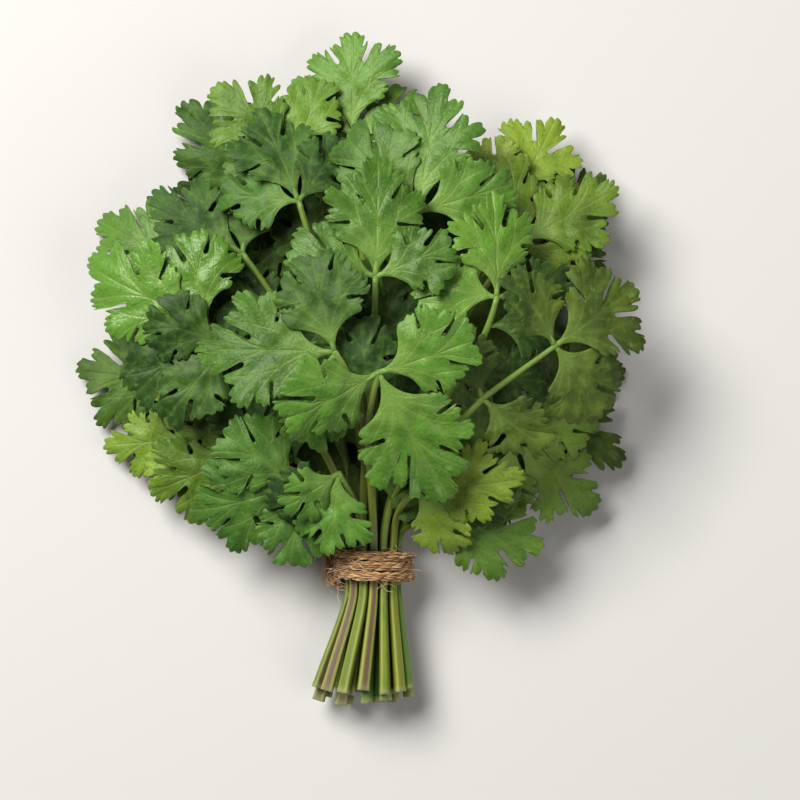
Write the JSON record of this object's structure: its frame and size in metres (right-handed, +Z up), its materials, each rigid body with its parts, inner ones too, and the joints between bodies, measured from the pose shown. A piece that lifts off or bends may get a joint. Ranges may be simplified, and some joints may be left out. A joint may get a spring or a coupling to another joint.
{
  "type": "coriander bunch",
  "caption": "Bunch of fresh coriander lying on a table, its leafy stems bound near their cut ends with jute twine.",
  "frame": {"origin": "the flat spot under the middle turn of twine, on which the bunch rests", "axes": "+Y along the stems towards the leaves, +Z up from the table, +X to the right seen from above with the leaves away from the viewer"},
  "size_m": [0.2028, 0.2403, 0.0768],
  "materials": {
    "stalk": "smooth, moist, satin",
    "leaf": "soft sheen over fine veins",
    "young_leaf": "soft sheen over fine veins",
    "twine": "rough twisted jute fibre"
  },
  "bodies": {
    "root": {"stem_01": "stalk", "leaf_01": "leaf", "stem_02": "stalk", "leaf_02": "leaf", "stem_03": "stalk", "leaf_03": "leaf", "stem_04": "stalk", "leaf_04": "leaf", "stem_05": "stalk", "leaf_05": "young_leaf", "stem_06": "stalk", "leaf_06": "leaf", "stem_07": "stalk", "leaf_07": "leaf", "stem_08": "stalk", "leaf_08": "leaf", "stem_09": "stalk", "leaf_09": "leaf", "stem_10": "stalk", "leaf_10": "leaf", "stem_11": "stalk", "leaf_11": "leaf", "stem_12": "stalk", "leaf_12": "leaf", "stem_13": "stalk", "leaf_13": "leaf", "stem_14": "stalk", "leaf_14": "young_leaf", "stem_15": "stalk", "leaf_15": "leaf", "stem_16": "stalk", "leaf_16": "leaf", "stem_17": "stalk", "leaf_17": "leaf", "stem_18": "stalk", "leaf_18": "leaf", "stem_19": "stalk", "leaf_19": "leaf", "stem_20": "stalk", "leaf_20": "leaf", "stem_21": "stalk", "leaf_21": "leaf", "stem_22": "stalk", "leaf_22": "leaf", "stem_23": "stalk", "leaf_23": "leaf", "stem_24": "stalk", "leaf_24": "leaf", "stem_25": "stalk", "leaf_25": "leaf", "stem_26": "stalk", "leaf_26": "young_leaf", "stem_27": "stalk", "leaf_27": "leaf", "stem_28": "stalk", "leaf_28": "leaf", "stem_29": "stalk", "leaf_29": "leaf", "twine": "twine"}
  },
  "joints": []
}
